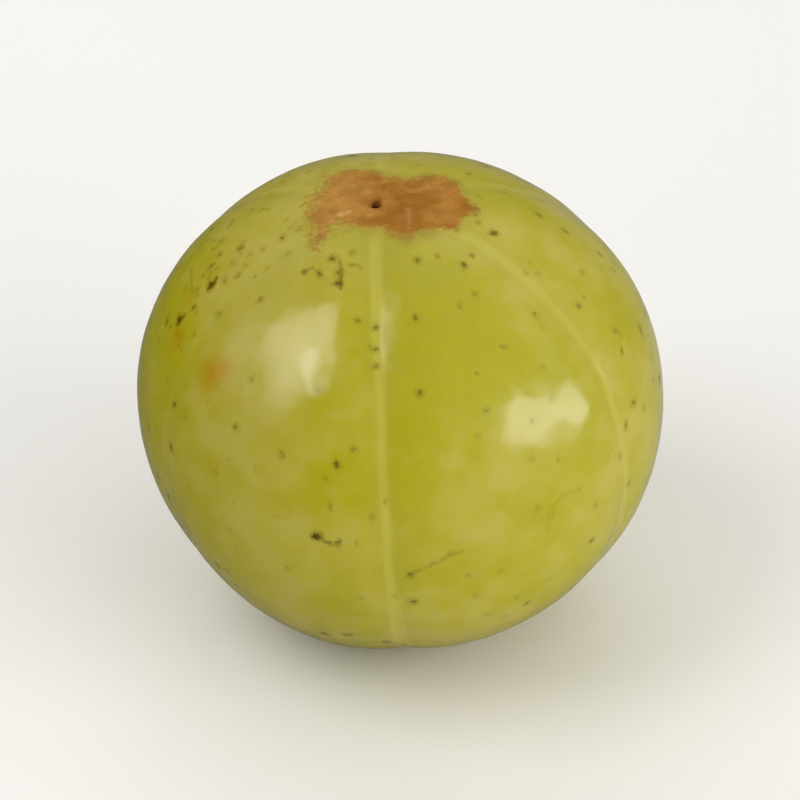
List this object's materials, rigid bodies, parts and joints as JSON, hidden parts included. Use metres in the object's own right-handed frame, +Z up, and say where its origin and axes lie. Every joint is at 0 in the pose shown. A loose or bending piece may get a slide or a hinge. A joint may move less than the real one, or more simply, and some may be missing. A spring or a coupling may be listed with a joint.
{
  "type": "indian gooseberry",
  "caption": "Whole fresh Indian gooseberry (amla): a slightly squashed yellow-green berry with faint lengthwise grooves, a russet stalk scar and a small flat spot to rest on.",
  "frame": {"origin": "middle of the bottom of the berry's box, on the level of its flat spot", "axes": "+Z up from the blossom end to the stalk end; the berry's core axis leans about 6 degrees from +Z towards -X; -Y is the side that was pictured"},
  "size_m": [0.036, 0.0356, 0.0327],
  "materials": {
    "skin": "waxy semi-gloss fruit skin, yellow-green with paler clouds, small brown specks and a matt russet patch at the stalk scar"
  },
  "bodies": {
    "root": {"gooseberry": "skin"}
  },
  "joints": []
}
